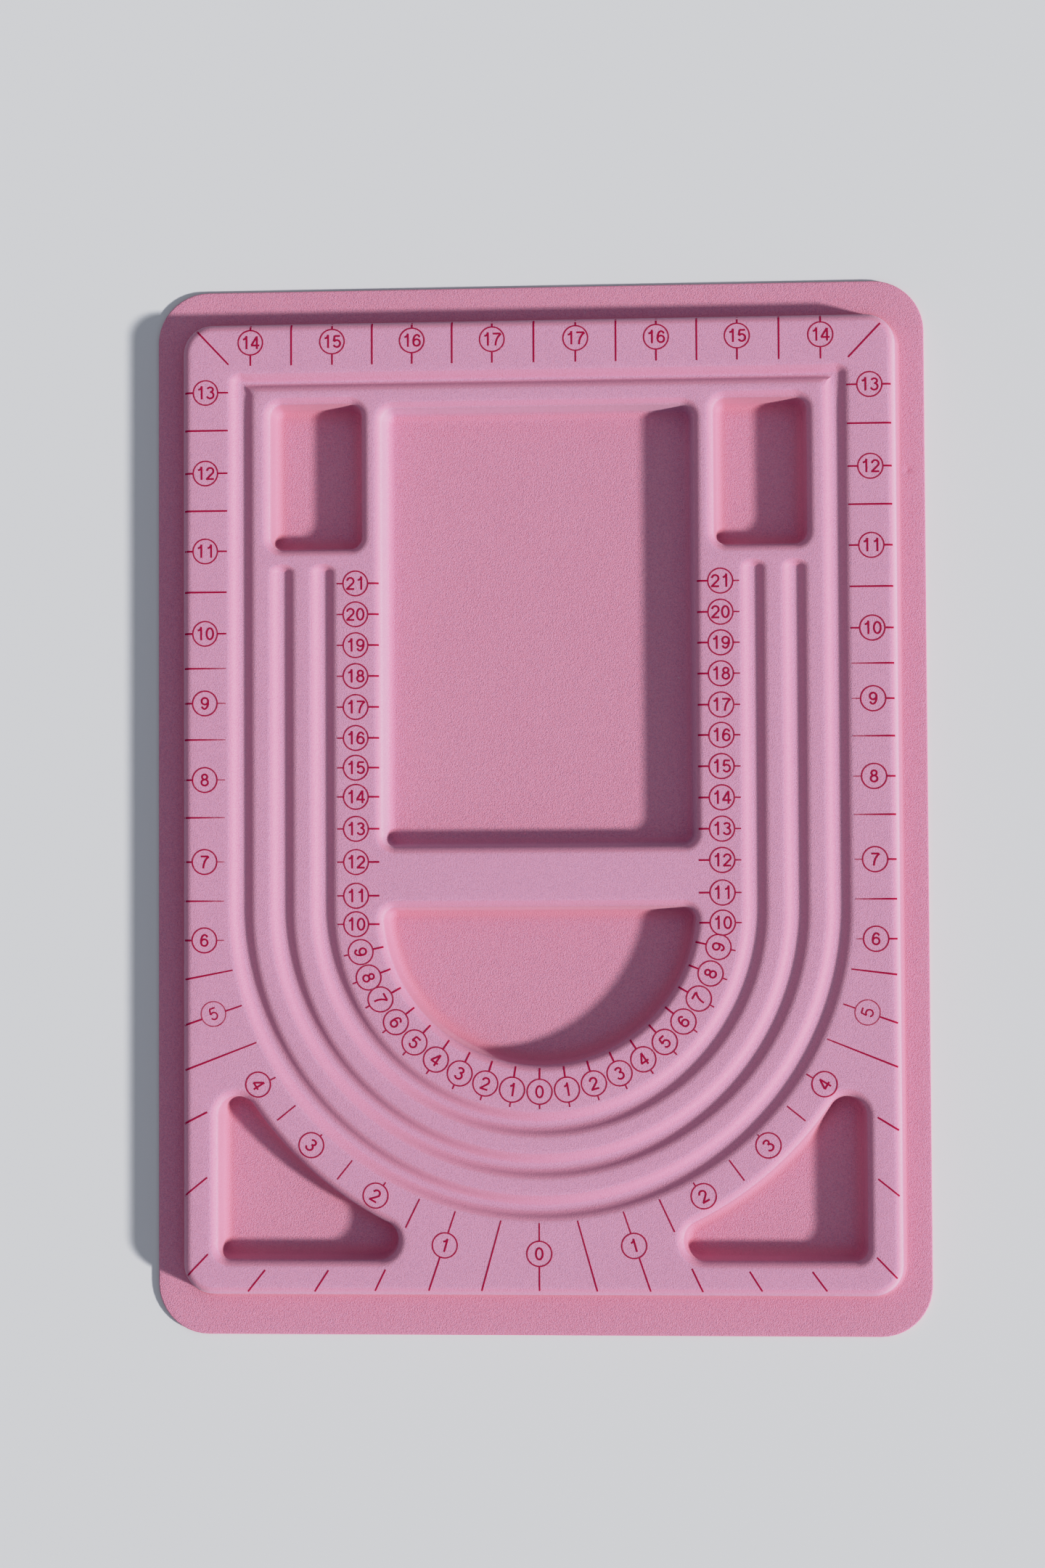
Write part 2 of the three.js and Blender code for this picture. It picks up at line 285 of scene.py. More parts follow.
# %% [markdown]
# ## One rule for every edge
# A heated sheet leaves the deck over a rounded lip, goes down a straight slope and meets the floor
# in a rounded root. A tray's wall, the deck's rim and half a channel differ only in the two radii,
# the slope and the length of the straight part. So the sheet starts as a flat plan: each point keeps
# its lip, its direction and its step from 0 at the lip to 1 at the foot. The walls have no width yet.

# %% Flat plan of the sheet
POINT_FLOATS = ("step", "lip_radius", "root_radius", "slope", "fall", "level", "drawn")
PLAIN_NUMBERS = ("step", "slope", "drawn")


def add_points(plan, lip, inward=(0, 0), **values):
    first = sum(len(block["lip"]) for block in plan["blocks"])
    count = len(lip)
    block = dict(lip=np.asarray(lip), inward=np.broadcast_to(inward, (count, 2)))
    for name in POINT_FLOATS:
        block[name] = np.broadcast_to(values.get(name, 1.0 if name == "slope" else 0.0), count)
    plan["blocks"].append(block)
    return np.arange(first, first + count)


# Painted light on a wall, by step: 1 for a pale painted sheen, -1 for a deeper pink painted shade
NO_PAINTED_LIGHT = (0, 1), (0, 0)
PAINTED_SHEEN_WALL = (0.12, 0.28, 0.55, 0.67), (0, 1, 1, 0)
PAINTED_SHADE_WALL = (0.2, 0.36, 0.9, 1.0), (0, -1, -1, -0.6)
RIM_SHEEN_AND_SHADE = (0.1, 0.2, 0.28, 0.38, 0.9, 1.0), (0, 1, 1, -1, -1, -0.4)


def strip(plan, loop, steps, painted_light_steps=NO_PAINTED_LIGHT):
    """Rows of faces that follow a loop of lips. Returns the rings of points at its first and last step."""
    rings = [add_points(plan, step=step, drawn=np.interp(step, *painted_light_steps), **loop) for step in steps]
    for near, far in zip(rings, rings[1:]):
        faces = np.stack([near, np.roll(near, -1), np.roll(far, -1), far], 1)
        plan["faces"] += faces.tolist()
    return rings[0], rings[-1]


def wall_loop(points, direction, root):
    return dict(lip=points, inward=direction, lip_radius=LIP_RADIUS, root_radius=root,
                slope=WALL_SLOPE, fall=wall_fall(root))


def channel_loop(rows):
    lips = np.array([row[0] for row in rows])
    middles = np.array([row[1] for row in rows])
    width = np.array([row[2] for row in rows])
    drop = np.array([row[3] for row in rows])
    slope = 2 * np.arctan(2 * drop / width)
    return dict(lip=lips, inward=(middles - lips) / (width / 2)[:, None], lip_radius=SHOULDER,
                root_radius=width / 2 / np.sin(slope) - SHOULDER, slope=slope)


def inside_odd(points, starts, ends):
    inside = np.zeros(len(points), bool)
    x, y = points[:, 0], points[:, 1]
    for (ax, ay), (bx, by) in zip(starts, ends):
        if ay != by:
            crosses = (ay > y) != (by > y)
            inside ^= crosses & (x < ax + (y - ay) * (bx - ax) / (by - ay))
    return inside


def fill(plan, rings, places, spacing, level=0.0, extra=()):
    """Triangles over the area that an odd number of rings goes round."""
    corners = np.concatenate(places)
    edges, first = [], 0
    for ring in rings:
        index = np.arange(first, first + len(ring))
        edges += np.stack([index, np.roll(index, -1)], 1).tolist()
        first += len(ring)
    starts, ends = (corners[np.array(edges)[:, k]] for k in (0, 1))
    low, high = corners.min(0), corners.max(0)
    rows = np.arange(low[1], high[1], spacing * math.sqrt(0.75))
    grid = np.array([(x + (r % 2) * spacing / 2, y) for r, y in enumerate(rows)
                     for x in np.arange(low[0], high[0], spacing)])
    tree = KDTree(len(corners))
    for i, (x, y) in enumerate(corners):
        tree.insert((x, y, 0), i)
    tree.balance()
    clear = np.array([tree.find((x, y, 0))[2] > 0.6 * spacing for x, y in grid])
    grid = np.concatenate([grid[clear & inside_odd(grid, starts, ends)], np.reshape(extra, (-1, 2))])
    index = np.concatenate(rings + [add_points(plan, grid, level=level)])
    points = np.concatenate([corners, grid])
    result = delaunay_2d_cdt([Vector(p) for p in points.tolist()], edges, [], 0, 1e-5)
    triangles = np.array(result[2])
    origin = np.array([source[0] for source in result[3]])
    triangles = origin[triangles]
    kept = triangles[inside_odd(points[triangles].mean(1), starts, ends)]
    plan["faces"] += index[kept].tolist()


print("each point of the plan keeps:", ", ".join(POINT_FLOATS), "and inward")

# %% [markdown]
# ## Two plans
# Faces that show are drawn on a fine plan. The faces between flock and plastic never show, so
# they use a coarse one. Both share the points of the flange's edge, where they are sewn together.
# The flange carries one small dent, so the fine plan has more points around it.

# %% Draw the plans
DENT, DENT_DEPTH, DENT_SIZE = np.array([119.3, 108.3]), 0.38, 0.95
dent_points = [DENT + r * np.array([math.cos(a), math.sin(a)]) for r in (0.0, 0.45, 0.9, 1.35, 1.8)
               for a in np.arange(8 if r else 1) * math.pi / 4 + r]


def thirds(lip, straight, root):
    """Steps over the lip, down the slope and through the root."""
    slope = np.linspace(1 / 3, 2 / 3, straight + 1)[1:] if straight else []
    return np.concatenate([np.linspace(0, 1 / 3, lip + 1), slope, np.linspace(2 / 3, 1, root + 1)[1:]])


def sheet_plan(name, fine, rolled_edge):
    plan = dict(blocks=[], faces=[])
    fine_spacing, fine_turn = 2.4, math.radians(9)
    spacing, turn_step, steps = (fine_spacing, fine_turn, 12) if fine else (10.0, 2.5 * fine_turn, 6)
    wall_steps = thirds(9, 4, 6) if fine else thirds(3, 1, 2)
    channel_steps = thirds(6, 0, 9) if fine else thirds(2, 0, 3)
    points, inward = sample(deck_outline, spacing, turn_step)
    lip, foot = strip(plan, wall_loop(points, -inward, RIM_ROOT), wall_steps, RIM_SHEEN_AND_SHADE)
    deck_rings, deck_places = [lip], [points]
    flange_rings, flange_places = [foot], [points - inward * wall_run(RIM_ROOT)]
    trays = [sample(outline, spacing, turn_step) for outline in trays_middle + trays_right]
    trays += [mirrored(*tray) for tray in trays[len(trays_middle):]]
    for number, (points, inward) in enumerate(trays):
        # The main tray's walls get the pale painted sheen, the other trays' walls the deeper pink painted
        # shade.
        painted_light_steps = PAINTED_SHADE_WALL if number else PAINTED_SHEEN_WALL  # the main tray comes first
        lip, foot = strip(plan, wall_loop(points, inward, TRAY_ROOT), wall_steps, painted_light_steps)
        deck_rings.append(lip)
        deck_places.append(points)
        fill(plan, [foot], [points + inward * wall_run(TRAY_ROOT)], spacing, WALL_TRAVEL)
    chains = closed_channel(spacing, steps)
    for radius in CHANNEL_RADII[1:]:
        chains += open_channel(radius, spacing, steps)
    for rows in chains:
        loop = channel_loop(rows)
        lip, _ = strip(plan, loop, channel_steps)
        deck_rings.append(lip)
        deck_places.append(loop["lip"])
    fill(plan, deck_rings, deck_places, spacing)
    points, inward = sample(flange_outline, fine_spacing, fine_turn)
    if rolled_edge:
        points = points + inward * EDGE_ROLL * math.sin(EDGE_SLOPE)
        edge = dict(lip=points, inward=-inward, lip_radius=EDGE_ROLL, slope=EDGE_SLOPE, level=WALL_TRAVEL)
        rim, _ = strip(plan, edge, np.linspace(0, 1 / 3, 5))
    else:
        rim = add_points(plan, points, level=WALL_TRAVEL)
    fill(plan, flange_rings + [rim], flange_places + [points], spacing, WALL_TRAVEL,
         dent_points if fine else ())
    return plan_object(name, plan)


def placed(name, data):
    thing = bpy.data.objects.new(name, data)
    bpy.context.scene.collection.objects.link(thing)
    return thing


def flat_mesh(name, places, edges=(), faces=()):
    """A mesh in the plane of the table, from places in millimetres."""
    places = np.array(places) * MM
    mesh = bpy.data.meshes.new(name)
    mesh.from_pydata(np.column_stack([places, np.zeros(len(places))]).tolist(), edges, faces)
    return mesh


def point_values(mesh, name, values, kind="FLOAT"):
    mesh.attributes.new(name, kind, "POINT").data.foreach_set("value", values)


def plan_object(name, plan):
    def column(key):
        return np.concatenate([block[key] for block in plan["blocks"]])

    mesh = flat_mesh(name, column("lip"), faces=plan["faces"])
    inward = np.column_stack([column("inward"), np.zeros(len(mesh.vertices))])
    mesh.attributes.new("inward", "FLOAT_VECTOR", "POINT").data.foreach_set("vector", inward.ravel())
    for key in POINT_FLOATS:
        point_values(mesh, key, column(key) * (1 if key in PLAIN_NUMBERS else MM))
    print(name, len(mesh.vertices), "points,", len(plan["faces"]), "faces")
    return placed(name, mesh)


flock_plan = sheet_plan("flock_plan", fine=True, rolled_edge=True)
hidden_plan = sheet_plan("hidden_plan", fine=False, rolled_edge=False)
under_plan = sheet_plan("under_plan", fine=True, rolled_edge=False)

# %% [markdown]
# ## Node helpers
# A node tree can be drawn by hand in the editor. In a script, a short helper that adds a node, sets
# its options and wires its inputs keeps the wiring readable. An input is a plain value or the output
# of another node. Modifier inputs are set by the socket's identifier, because names may repeat.

# %% Helpers for node trees
def wire(tree, value, socket):
    """Links another node's output to the socket, or sets a plain value on it."""
    if isinstance(value, bpy.types.NodeSocket):
        tree.links.new(value, socket)
    elif value is not None:
        socket.default_value = value


def add_node(tree, kind, *values, named=(), **options):
    node = tree.nodes.new(kind)
    for key, value in options.items():
        setattr(node, key, value)
    for socket, value in zip(node.inputs, values):
        wire(tree, value, socket)
    for label, value in dict(named).items():
        wire(tree, value, node.inputs[label])
    return node


def maths(tree, rule, *values, clamp=False):
    return add_node(tree, "ShaderNodeMath", *values, operation=rule, use_clamp=clamp).outputs[0]


def sums(tree):
    """Adding, subtracting, multiplying and dividing with the nodes of one tree."""
    return (partial(maths, tree, rule) for rule in ("ADD", "SUBTRACT", "MULTIPLY", "DIVIDE"))


def z_of(tree, place):
    return add_node(tree, "ShaderNodeSeparateXYZ", place).outputs[2]


def with_z(tree, place, z):
    """The same place at another height."""
    x, y, _ = add_node(tree, "ShaderNodeSeparateXYZ", place).outputs
    return add_node(tree, "ShaderNodeCombineXYZ", x, y, z).outputs[0]


def position(tree):
    return add_node(tree, "GeometryNodeInputPosition").outputs[0]


def named(tree, name, data_type="FLOAT"):
    return add_node(tree, "GeometryNodeInputNamedAttribute", name, data_type=data_type).outputs[0]


def moved_to(tree, geometry, **named):
    return add_node(tree, "GeometryNodeSetPosition", geometry, named=named).outputs[0]


def joined(tree, *parts):
    both = add_node(tree, "GeometryNodeJoinGeometry")
    for part in parts:
        tree.links.new(part, both.inputs[0])
    return both.outputs[0]


def merged(tree, geometry):
    return add_node(tree, "GeometryNodeMergeByDistance", geometry, named=dict(Distance=1e-6)).outputs[0]


def realized(tree, geometry):
    return add_node(tree, "GeometryNodeRealizeInstances", geometry).outputs[0]


def geometry_tree(name, inputs):
    """A tree with a geometry input, the named inputs and a geometry output."""
    tree = bpy.data.node_groups.new(name, "GeometryNodeTree")
    tree.interface.new_socket("Geometry", in_out="INPUT", socket_type="NodeSocketGeometry")
    for label, kind in inputs.items():
        tree.interface.new_socket(label, in_out="INPUT", socket_type="NodeSocket" + kind)
    tree.interface.new_socket("Geometry", in_out="OUTPUT", socket_type="NodeSocketGeometry")
    return tree, tree.nodes.new("NodeGroupInput").outputs, tree.nodes.new("NodeGroupOutput")


def send_out(tree, given, out, geometry):
    """Ends a tree: the export needs real faces, and the faces need their finish."""
    dressed = add_node(tree, "GeometryNodeSetMaterial", realized(tree, geometry),
                       named=dict(Material=given["Finish"]))
    tree.links.new(dressed.outputs[0], out.inputs[0])
    return tree


def build(thing, tree, name, **values):
    """Runs the tree on an object and returns the result as a plain mesh object."""
    modifier = thing.modifiers.new(tree.name, "NODES")
    modifier.node_group = tree
    sockets = {s.name: s.identifier for s in tree.interface.items_tree if s.in_out == "INPUT"}
    for label, value in values.items():
        modifier[sockets[label.replace("_", " ").title()]] = value
    depsgraph = bpy.context.evaluated_depsgraph_get()
    mesh = bpy.data.meshes.new_from_object(thing.evaluated_get(depsgraph), depsgraph=depsgraph)
    thing.modifiers.remove(modifier)
    mesh.name = name
    return placed(name, mesh)


print("helpers ready")

# %% [markdown]
# ## Pressing the sheet
# This tree does what the mould does. It reads each point's step and works out how far the sheet has
# run from its lip and how far it has dropped. Depth says which face is made: 0 is the flock's face,
# and a face under it has smaller lip radii and larger root radii, as in any bent sheet. A slow
# noise lets the deck wander by a few hundredths of a millimetre, because no formed sheet is flat.

# %% Tree that presses a plan into relief
WAVE_SCALE = 18.0
PRESS_INPUTS = {"Height": "Float", "Travel": "Float", "Depth": "Float", "Wave": "Float",
                "Dent Place": "Vector", "Dent Depth": "Float", "Dent Size": "Float"}


def press_tree():
    tree, given, out = geometry_tree("press_sheet", PRESS_INPUTS)
    plus, minus, times, divided = sums(tree)
    sine, cosine = (partial(maths, tree, rule) for rule in ("SINE", "COSINE"))
    step, slope, fall = (named(tree, key) for key in ("step", "slope", "fall"))
    lip = minus(named(tree, "lip_radius"), given["Depth"])
    root = plus(named(tree, "root_radius"), given["Depth"])
    thrice = times(step, 3.0)
    over = times(slope, plus(thrice, 0.0, clamp=True))
    slide = times(fall, minus(thrice, 1.0, clamp=True))
    left = times(slope, minus(3.0, thrice, clamp=True))
    run = plus(times(lip, sine(over)), divided(slide, maths(tree, "TANGENT", slope)))
    run = plus(run, times(root, minus(sine(slope), sine(left))))
    drop = plus(times(lip, minus(1.0, cosine(over))), slide)
    drop = plus(drop, times(root, minus(cosine(left), cosine(slope))))
    drop = plus(drop, named(tree, "level"))
    away = add_node(tree, "ShaderNodeVectorMath", operation="SCALE",
                    named=dict(Vector=named(tree, "inward", "FLOAT_VECTOR"), Scale=run)).outputs[0]
    moved = add_node(tree, "ShaderNodeVectorMath", position(tree), away, operation="ADD").outputs[0]
    wander = add_node(tree, "ShaderNodeTexNoise", named=dict(Vector=moved, Scale=WAVE_SCALE, Detail=1.0))
    lift = times(times(minus(wander.outputs[0], 0.5), given["Wave"]),
                 minus(1.0, divided(drop, given["Travel"])))
    gap = add_node(tree, "ShaderNodeVectorMath", moved, given["Dent Place"], operation="DISTANCE")
    gap = divided(gap.outputs["Value"], given["Dent Size"])
    pit = maths(tree, "EXPONENT", times(times(gap, gap), -1.0))
    lift = minus(lift, times(pit, given["Dent Depth"]))
    z = plus(minus(minus(given["Height"], given["Depth"]), drop), lift)
    pressed = moved_to(tree, given["Geometry"], Position=with_z(tree, moved, z))
    tree.links.new(merged(tree, pressed), out.inputs[0])
    return tree


press = press_tree()
print("press tree:", len(press.nodes), "nodes")

# %% [markdown]
# ## Closing a layer
# A layer of the board has an upper and a lower face. The tree presses both, draws the open edge of
# the upper face down to the lower one and merges the points that meet. The result is a closed skin.

# %% Tree that makes one layer
def layer_tree():
    tree, given, out = geometry_tree("sheet_layer", {
        "Lower Plan": "Object", "Height": "Float", "Travel": "Float", "Upper Depth": "Float",
        "Lower Depth": "Float", "Wave": "Float", "Dent Place": "Vector", "Dent Depth": "Float",
        "Dent Size": "Float", "Finish": "Material"})
    _, minus, _, _ = sums(tree)

    def pressed(plan, depth, dent):
        shared = {label: given[label] for label in ("Height", "Travel", "Wave", "Dent Place", "Dent Size")}
        own = {"Geometry": plan, "Depth": depth, "Dent Depth": dent}
        return add_node(tree, "GeometryNodeGroup", node_tree=press, named=shared | own).outputs[0]

    upper = pressed(given["Geometry"], given["Upper Depth"], given["Dent Depth"])
    plan = add_node(tree, "GeometryNodeObjectInfo", given["Lower Plan"]).outputs["Geometry"]
    lower = pressed(plan, given["Lower Depth"], 0.0)
    lower = add_node(tree, "GeometryNodeFlipFaces", lower).outputs[0]
    faces = add_node(tree, "GeometryNodeInputMeshEdgeNeighbors").outputs[0]
    open_edge = maths(tree, "COMPARE", faces, 1.0, 0.1)
    skirt = add_node(tree, "GeometryNodeExtrudeMesh", upper, mode="EDGES",
                     named={"Selection": open_edge, "Offset Scale": 0.0})
    foot = minus(minus(given["Height"], given["Travel"]), given["Lower Depth"])
    skirt = moved_to(tree, skirt.outputs["Mesh"], Selection=skirt.outputs["Top"],
                     Position=with_z(tree, position(tree), foot))
    return send_out(tree, given, out, merged(tree, joined(tree, lower, skirt)))


layer = layer_tree()
print("layer tree:", len(layer.nodes), "nodes")

# %% [markdown]
# ## The flock's finish
# Flock is a field of standing fibres, about half a millimetre long. Up close it is pebbled, and
# from the side its tips catch the light as a pale bloom. The grain could be hair, but millions of
# fibres would swamp the file, so noise at four sizes drives colour and bump, and sheen gives the
# bloom. The deck is mixed a little paler and bluer than the floors and the flange, by height. High on
# the rim and on the main tray's walls a pale painted sheen goes into the colour. Lower on the rim, and
# on the walls of the other trays, a deeper pink is painted shade. A value at each point of the plan
# carries both. On the gentle slopes of the channels the surface normal mixes in a deeper pink, which
# is painted shade that tones down the sides facing the light.

# %% Flock material
def material(name):
    made = bpy.data.materials.new(name)
    made.use_nodes = True
    tree = made.node_tree
    return made, tree, tree.nodes["Principled BSDF"], add_node(tree, "ShaderNodeTexCoord").outputs["Object"]


def dress(tree, surface, inputs):
    for label, value in inputs.items():
        wire(tree, value, surface.inputs[label])


def noise(tree, place, scale, detail=1.0, roughness=0.5):
    return add_node(tree, "ShaderNodeTexNoise", named=dict(
        Vector=place, Scale=scale, Detail=detail, Roughness=roughness)).outputs[0]


def spread(tree, value, low, high, to_low=0.0, to_high=1.0, smooth=True):
    return add_node(tree, "ShaderNodeMapRange", value, low, high, to_low, to_high,
                    interpolation_type="SMOOTHSTEP" if smooth else "LINEAR").outputs[0]


def mix(tree, share, first, second):
    node = add_node(tree, "ShaderNodeMix", data_type="RGBA")
    for socket, value in zip((0, 6, 7), (share, first, second)):  # where the colours of this node sit
        wire(tree, value, node.inputs[socket])
    return node.outputs[2]


def bump(tree, height, strength, distance):
    return add_node(tree, "ShaderNodeBump", named=dict(
        Strength=strength, Distance=distance, Height=height)).outputs[0]


FLOOR_PINK = (0.625, 0.292, 0.396, 1)
DECK_PINK = (0.585, 0.322, 0.438, 1)
# The next three colours are painted light: a pale painted sheen, then two deeper pinks of painted shade.
PAINTED_SHEEN = (0.53, 0.376, 0.456, 1)
PAINTED_SLOPE_SHADE = (0.60, 0.25, 0.34, 1)
PAINTED_WALL_SHADE = (0.60, 0.24, 0.31, 1)
FIBRE_TIP = (0.69, 0.464, 0.56, 1)
FIBRE_ROOT = (0.29, 0.068, 0.136, 1)
COOL_FIBRE = (0.416, 0.264, 0.392, 1)


def flock_colour(tree, place):
    """Colour of the flock and the height of its grain."""
    plus, _, times, _ = sums(tree)
    raised = spread(tree, z_of(tree, place), 1.2 * SKIN * MM, 3 * SKIN * MM)
    nap = noise(tree, place, 30.0, 2.0)
    blend = noise(tree, place, 1700.0)
    pebble = noise(tree, place, 2900.0)
    fibre = noise(tree, place, 6000.0, 2.0, 0.7)
    # The deck is mixed a little paler and bluer than the floors and the flange, by height.
    base = mix(tree, raised, FLOOR_PINK, DECK_PINK)
    for field, none_at, full_at, share, colour in (
            (nap, 0.42, 0.68, 0.03, FIBRE_TIP), (blend, 0.4, 0.7, 0.36, COOL_FIBRE),
            (fibre, 0.5, 0.8, 0.42, FIBRE_TIP), (fibre, 0.5, 0.2, 0.46, FIBRE_ROOT),
            (pebble, 0.56, 0.3, 0.2, FIBRE_ROOT)):
        base = mix(tree, spread(tree, field, none_at, full_at, 0.0, share), base, colour)
    # Painted shade: gentle slopes, such as the channels' sides, get a deeper pink that tones down the sides
    # facing the light.
    upright = z_of(tree, add_node(tree, "ShaderNodeNewGeometry").outputs["Normal"])
    slope_shade_mask = times(spread(tree, upright, 0.995, 0.93), spread(tree, upright, 0.5, 0.7))
    base = mix(tree, times(slope_shade_mask, 0.45), base, PAINTED_SLOPE_SHADE)
    # Painted light on the walls, from the plan: a pale painted sheen where the value is above 0, a deeper
    # pink painted shade where it is below.
    drawn = add_node(tree, "ShaderNodeAttribute", attribute_name="drawn").outputs["Fac"]
    for way, share, colour in ((1.0, 0.2, PAINTED_SHEEN), (-1.0, 0.62, PAINTED_WALL_SHADE)):
        base = mix(tree, spread(tree, drawn, 0.0, way, 0.0, share), base, colour)
    grain = plus(times(pebble, 0.7), times(fibre, 0.3))
    return base, times(grain, spread(tree, raised, 0.0, 1.0, 1.0, 0.55))


def flock_finish():
    made, tree, surface, place = material("flock_pile")
    base, grain = flock_colour(tree, place)
    dress(tree, surface, {
        "Base Color": base, "Normal": bump(tree, grain, 0.95, 0.33 * MM), "Roughness": 1.0,
        "Specular IOR Level": 0.08, "Sheen Weight": 0.32, "Sheen Roughness": 0.3,
        "Sheen Tint": (0.95, 0.70, 0.85, 1)})
    return made


flock_pile = flock_finish()
print("flock material:", len(flock_pile.node_tree.nodes), "nodes")

# %% [markdown]
# ## The plastic's finish
# The underside shows bare plastic. It is satin, with a faint orange peel from the mould, and where
# the sheet was drawn into the deep walls it is thinner and so a little paler. It was drawn upwards
# from the table, so height stands for draw.

# %% Plastic material
SHEET_PINK = (0.57, 0.235, 0.34, 1)
SHEET_THIN = (0.68, 0.36, 0.46, 1)
SCUFF_PINK = (0.8, 0.55, 0.63, 1)


def plastic_finish():
    made, tree, surface, place = material("formed_plastic")
    _, _, times, _ = sums(tree)
    height = z_of(tree, place)
    cloud = noise(tree, place, 55.0, 4.0)
    streaks = add_node(tree, "ShaderNodeMapping", place, named=dict(Scale=(40.0, 900.0, 200.0))).outputs[0]
    drawn = times(spread(tree, height, 0.4 * MM, 6 * MM), spread(tree, height, 11 * MM, 7 * MM))
    base = mix(tree, times(drawn, 0.7), SHEET_PINK, SHEET_THIN)
    base = mix(tree, spread(tree, cloud, 0.4, 0.7, 0.0, 0.2), base, SHEET_THIN)
    scuff = noise(tree, streaks, 1.0, 3.0)
    base = mix(tree, spread(tree, scuff, 0.62, 0.75, 0.0, 0.35), base, SCUFF_PINK)
    dress(tree, surface, {
        "Base Color": base, "Roughness": spread(tree, cloud, 0.3, 0.7, 0.36, 0.52),
        "Normal": bump(tree, noise(tree, place, 620.0), 0.25, 0.1 * MM)})
    return made


formed_plastic = plastic_finish()
print("plastic material:", len(formed_plastic.node_tree.nodes), "nodes")

# %% [markdown]
# ## The two layers
# The same tree makes both layers. The flock's upper face and the plastic's underside use a fine plan,
# and the faces between them the coarse one. On a closed skin Blender can then turn every face
# outwards, and edges sharper than a limit, such as the cut edge of the flange, stay crisp.

# %% Make the flocked face and the formed sheet
WAVE = 0.06
PLAN_VALUES = set(POINT_FLOATS + ("inward", "kind", "turn")) - {"drawn"}


def finish_mesh(piece, sharp=math.radians(38)):
    skin = bmesh.new()
    skin.from_mesh(piece.data)
    bmesh.ops.recalc_face_normals(skin, faces=skin.faces)
    open_edges = sum(1 for edge in skin.edges if len(edge.link_faces) != 2)
    volume = skin.calc_volume(signed=True)
    skin.to_mesh(piece.data)
    skin.free()
    for attribute in [a.name for a in piece.data.attributes if a.name in PLAN_VALUES]:
        piece.data.attributes.remove(piece.data.attributes[attribute])
    piece.data.shade_smooth()
    piece.data.set_sharp_from_angle(angle=sharp)
    piece.data.calc_loop_triangles()
    print(piece.name, len(piece.data.loop_triangles), "triangles,", open_edges, "open edges,",
          round(volume * 1e6, 2), "cm3")


def board_layer(name, plan, upper, lower, finish, dent):
    return build(plan, layer, name, lower_plan=hidden_plan, height=HEIGHT * MM, travel=WALL_TRAVEL * MM,
                 upper_depth=upper * MM, lower_depth=lower * MM, wave=WAVE * MM,
                 dent_place=(DENT[0] * MM, DENT[1] * MM, 0.0), dent_depth=dent * MM,
                 dent_size=DENT_SIZE * MM, finish=finish)


flocked_face = board_layer("flocked_face", flock_plan, 0.0, FLOCK_BED, flock_pile, DENT_DEPTH)
formed_sheet = board_layer("formed_sheet", under_plan, SKIN, SHEET_FACE, formed_plastic, 0.0)
for piece in (flocked_face, formed_sheet):
    finish_mesh(piece)
for plan in (flock_plan, hidden_plan, under_plan):
    bpy.data.objects.remove(plan)

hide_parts("flock_layer")
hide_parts("formed_shell")
for piece in (flocked_face, formed_sheet):
    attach(piece, "root")

# %% [markdown]
# ## Plans of the printed scales
# Two scales are printed on the flock: centimetres along the inner channel and inches along the
# edge of the deck. A mark is a line across the scale, and most marks carry a number in a ring. The
# plan holds only the ends of the lines and the places of rings and digits, with the ink that each
# took. The plate pressed harder at the lips, so a line is bold at one end and faint at the other. Its
# artwork was set by eye, so the slips move single marks off their even steps.

# %% Sizes of the two scales
EDGE, LINE, RING = -3, -2, -1  # a point that carries a digit holds the digit itself, from 0 to 9
RING_RADIUS, DIGIT_STEP, TRAY_INSET = 4.0, 3.2, 1.2
BOLD, FULL, PLAIN, THIN, FAINT = 0.95, 0.9, 0.8, 0.68, 0.45
RIGHT, LEFT = 1, -1

CM_ROW, CM_TURN, CM_TEN_Y = 58.85, math.radians(8.6), -37.4
CM_LINE_IN, CM_LINE_ARC, CM_LINE_LEG = 51.35, 64.4, 64.9
CM_SLIPS = {RIGHT: {11: -0.4, 17: -0.27, 18: -0.27, 19: -0.35, 20: -0.5, 21: -0.5},
            LEFT: {8: -0.95, 9: -1.2, 11: -0.85, 13: 0.7, 14: 1.0, 15: 0.4}}

INCH_ROW, INCH_LINE_IN, INCH_LINE_OUT = 107.5, 100.5, 114.3
INCH_HEIGHTS = {6: -42.4, 7: -17.1, 8: 9.4, 9: 34.2, 10: 56.8, 11: 83.3, 12: 108.7, 13: 135.0}
INCH_RIGHT_SLIP, INCH_LEFT_SLIP = -0.33, 0.28  # on the left only past ten
COLUMN_LEAN, COLUMN_TRUE_Y = 0.0029, 70
TOP_ROW_Y, TOP_LINE_IN, TOP_LINE_OUT = 151.2, 143.55, 157.2
TOP_ROW = {14: 92.2, 15: 65.5, 16: 39.5, 17: 13.5}
TOP_RING_TILT, TOP_LINE_TILT = 0.0025, 0.004
TOP_SHIFT, INCH_SHIFT = -0.4, -0.35  # the inch plate sat a little to the left
TOP_CORNERS = {RIGHT: [(100.6, 143.5), (110.9, 154.3)], LEFT: [(-99.8, 144.4), (-110.5, 155.8)]}
HALF_SLIPS = {6: (-0.3, 0.0), 7: (0.7, 1.05), 8: (0.1, 0.6), 9: (-0.35, 0.0), 10: (-0.3, 0.2),
              11: (0.1, 0.7), 12: (0.3, 1.05)}  # of the half inches, right and left

